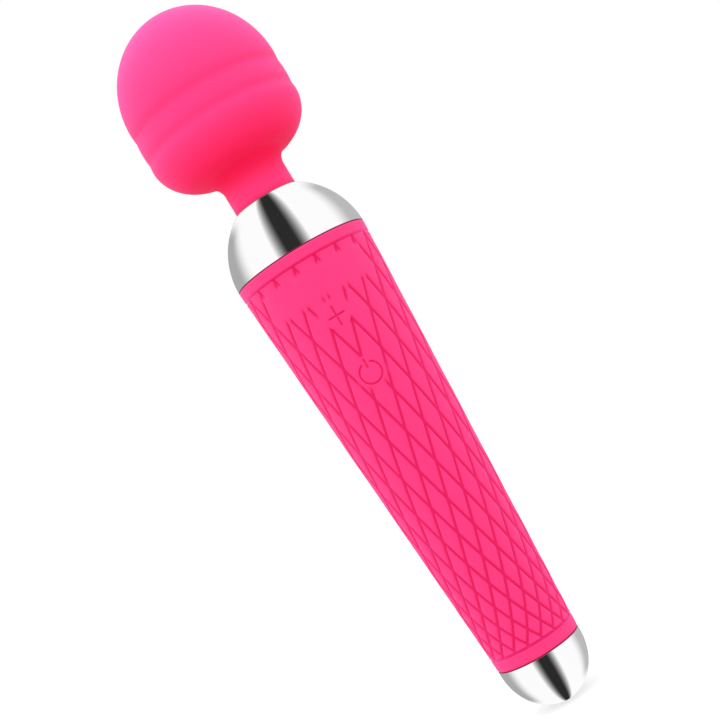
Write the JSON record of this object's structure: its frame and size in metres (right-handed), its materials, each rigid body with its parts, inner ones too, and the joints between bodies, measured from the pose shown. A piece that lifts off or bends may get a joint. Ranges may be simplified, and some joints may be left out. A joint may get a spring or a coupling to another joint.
{
  "type": "handheld wand massager",
  "caption": "Handheld wand massager: rounded silicone head on a bending neck, plated shoulder collar, tapered diamond-quilted silicone grip with press keys, and a rounded plated tail cap.",
  "frame": {"origin": "on the wand's axis, in the middle of the grip where the hand holds it", "axes": "+Z along the wand's axis towards the head, -Y out of the keys"},
  "size_m": [0.0434, 0.0434, 0.2046],
  "materials": {
    "head_silicone": "soft satin silicone, hot pink",
    "grip_silicone": "soft satin silicone, hot pink",
    "plated_plastic": "mirror-plated ABS",
    "casing_plastic": "moulded ABS, natural white",
    "core_plastic": "moulded ABS, ivory",
    "steel": "zinc-plated and bright steel",
    "sintered_weight": "sintered steel",
    "winding_copper": "enamelled copper and copper",
    "magnet_ferrite": "ferrite",
    "brass": "turned and stamped brass",
    "black_plastic": "moulded black plastic",
    "board_laminate": "green solder mask on glass laminate",
    "clear_lens": "milky clear epoxy",
    "plug_nylon": "white nylon",
    "cell_wrap": "blue shrink wrap",
    "lead_red": "red insulation",
    "lead_black": "black insulation"
  },
  "bodies": {
    "handle": {"neck_anchor": "brass", "shoulder_collar": "plated_plastic", "handle_sleeve": "grip_silicone", "casing_front": "casing_plastic", "casing_back": "casing_plastic", "casing_screws": "steel", "tail_cap": "plated_plastic", "charge_jack": "black_plastic", "charge_contacts": "brass", "charge_leads": "lead_black", "circuit_board": "board_laminate", "board_screws": "steel", "key_switches": "black_plastic", "control_chip": "black_plastic", "status_led": "clear_lens", "board_plugs": "plug_nylon", "battery_cell": "cell_wrap", "battery_lead_top": "lead_red", "battery_lead_tail": "lead_black", "motor_leads_handle": "lead_red"},
    "neck": {"neck_spring": "steel", "neck_sleeve": "head_silicone", "motor_leads_neck": "lead_red"},
    "head": {"head_cover": "head_silicone", "head_core_front": "core_plastic", "head_core_back": "core_plastic", "head_core_screws": "steel", "head_anchor": "brass", "motor_can": "steel", "motor_end_bell": "black_plastic", "motor_terminals": "brass", "motor_brushes": "winding_copper", "motor_magnets": "magnet_ferrite", "motor_bushes": "brass", "motor_leads_head": "lead_red"},
    "rotor": {"motor_shaft": "steel", "motor_armature": "winding_copper", "motor_commutator": "winding_copper", "eccentric_weight": "sintered_weight"},
    "plus_button": {"plus_key": "grip_silicone", "plus_plunger": "casing_plastic", "plus_stem": "black_plastic"},
    "power_button": {"power_key": "grip_silicone", "power_plunger": "casing_plastic", "power_stem": "black_plastic"}
  },
  "joints": [
    {"name": "neck_nod", "type": "hinge", "parent": "handle", "child": "neck", "pos_m": [0, 0, 0.07825], "axis": [1, 0, 0], "range_deg": [-20, 20], "stiffness_Nm_per_rad": 0.6, "deforming": ["neck_spring", "neck_sleeve", "motor_leads_neck"]},
    {"name": "neck_sway", "type": "hinge", "parent": "neck", "child": "head", "pos_m": [0, 0, 0.08225], "axis": [0, 1, 0], "range_deg": [-20, 20], "stiffness_Nm_per_rad": 0.6, "deforming": ["neck_spring", "neck_sleeve", "motor_leads_neck"]},
    {"name": "motor_spin", "type": "hinge", "parent": "head", "child": "rotor", "pos_m": [0, 0, 0.105], "axis": [0, 0, 1], "continuous": true},
    {"name": "plus_press", "type": "slide", "parent": "handle", "child": "plus_button", "axis": [0, 1, 0], "range_m": [0, 0.0004], "stiffness_N_per_m": 3000},
    {"name": "power_press", "type": "slide", "parent": "handle", "child": "power_button", "axis": [0, 1, 0], "range_m": [0, 0.0004], "stiffness_N_per_m": 3000}
  ]
}
